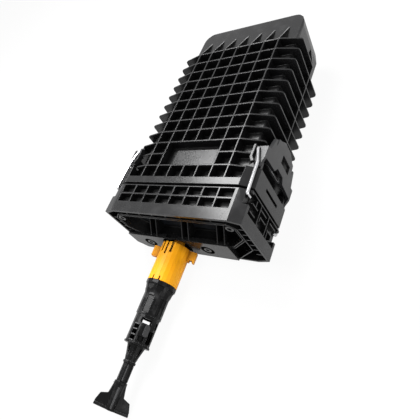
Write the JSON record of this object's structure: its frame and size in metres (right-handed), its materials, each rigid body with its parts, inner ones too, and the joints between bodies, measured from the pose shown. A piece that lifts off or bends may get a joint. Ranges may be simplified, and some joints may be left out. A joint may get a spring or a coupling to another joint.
{
  "type": "splice closure",
  "caption": "Ribbed, box-shaped fibre splice closure: a dome held on a celled base by wire draw latches, with splice trays inside and a slotted port sleeve and cable holder below.",
  "frame": {"origin": "middle of the rear face of the dome's flange, on the plane that the closure lies on", "axes": "+X across the closure towards the right latch as seen from the front, +Y along it from the cable end to the dome's cap, +Z out of the front face, up from the resting plane"},
  "size_m": [0.1944, 0.5361, 0.0936],
  "materials": {
    "housing": "satin",
    "latch": "satin",
    "holder": "satin",
    "sleeve": "semi gloss",
    "wire": "bright drawn",
    "steel": "satin",
    "seal": "matte",
    "gel": "soft",
    "inner_plastic": "matte",
    "tray_plastic": "matte",
    "strap": "woven"
  },
  "bodies": {
    "root": {"base_housing": "housing", "dome": "housing", "dome_seal": "seal", "gel_block_1": "gel", "gel_block_2": "gel", "gel_block_3": "gel", "gel_block_4": "gel", "inner_pressure_plate": "inner_plastic", "pressure_bolts": "steel", "tray_carrier": "inner_plastic", "carrier_screws": "steel", "tray_pins": "steel", "splice_tray_1": "tray_plastic", "splice_tray_2": "tray_plastic", "splice_tray_3": "tray_plastic", "splice_tray_4": "tray_plastic", "splice_comb_1": "inner_plastic", "splice_comb_2": "inner_plastic", "splice_comb_3": "inner_plastic", "splice_comb_4": "inner_plastic", "tray_cover": "tray_plastic", "tray_strap": "strap", "port_sleeve": "sleeve", "cable_holder": "holder", "lever_pins": "steel"},
    "lever_left": {"lever_left": "latch"},
    "bail_left": {"bail_left": "wire"},
    "lever_right": {"lever_right": "latch"},
    "bail_right": {"bail_right": "wire"}
  },
  "joints": [
    {"name": "lever_right_swing", "type": "hinge", "parent": "root", "child": "lever_right", "pos_m": [0.091, 0.02625, 0.0468], "axis": [0, 0, -1], "range_deg": [0, 90]},
    {"name": "bail_right_swing", "type": "hinge", "parent": "lever_right", "child": "bail_right", "pos_m": [0.0865, 0.04575, 0.0468], "axis": [0, 0, -1], "range_deg": [-90, 0]},
    {"name": "lever_left_swing", "type": "hinge", "parent": "root", "child": "lever_left", "pos_m": [-0.091, 0.02625, 0.0468], "axis": [0, 0, 1], "range_deg": [0, 90]},
    {"name": "bail_left_swing", "type": "hinge", "parent": "lever_left", "child": "bail_left", "pos_m": [-0.0865, 0.04575, 0.0468], "axis": [0, 0, 1], "range_deg": [-90, 0]}
  ],
  "couplings": [
    {"joint": "bail_right_swing", "follows": "lever_right_swing", "ratio": -1},
    {"joint": "bail_left_swing", "follows": "lever_left_swing", "ratio": -1}
  ]
}
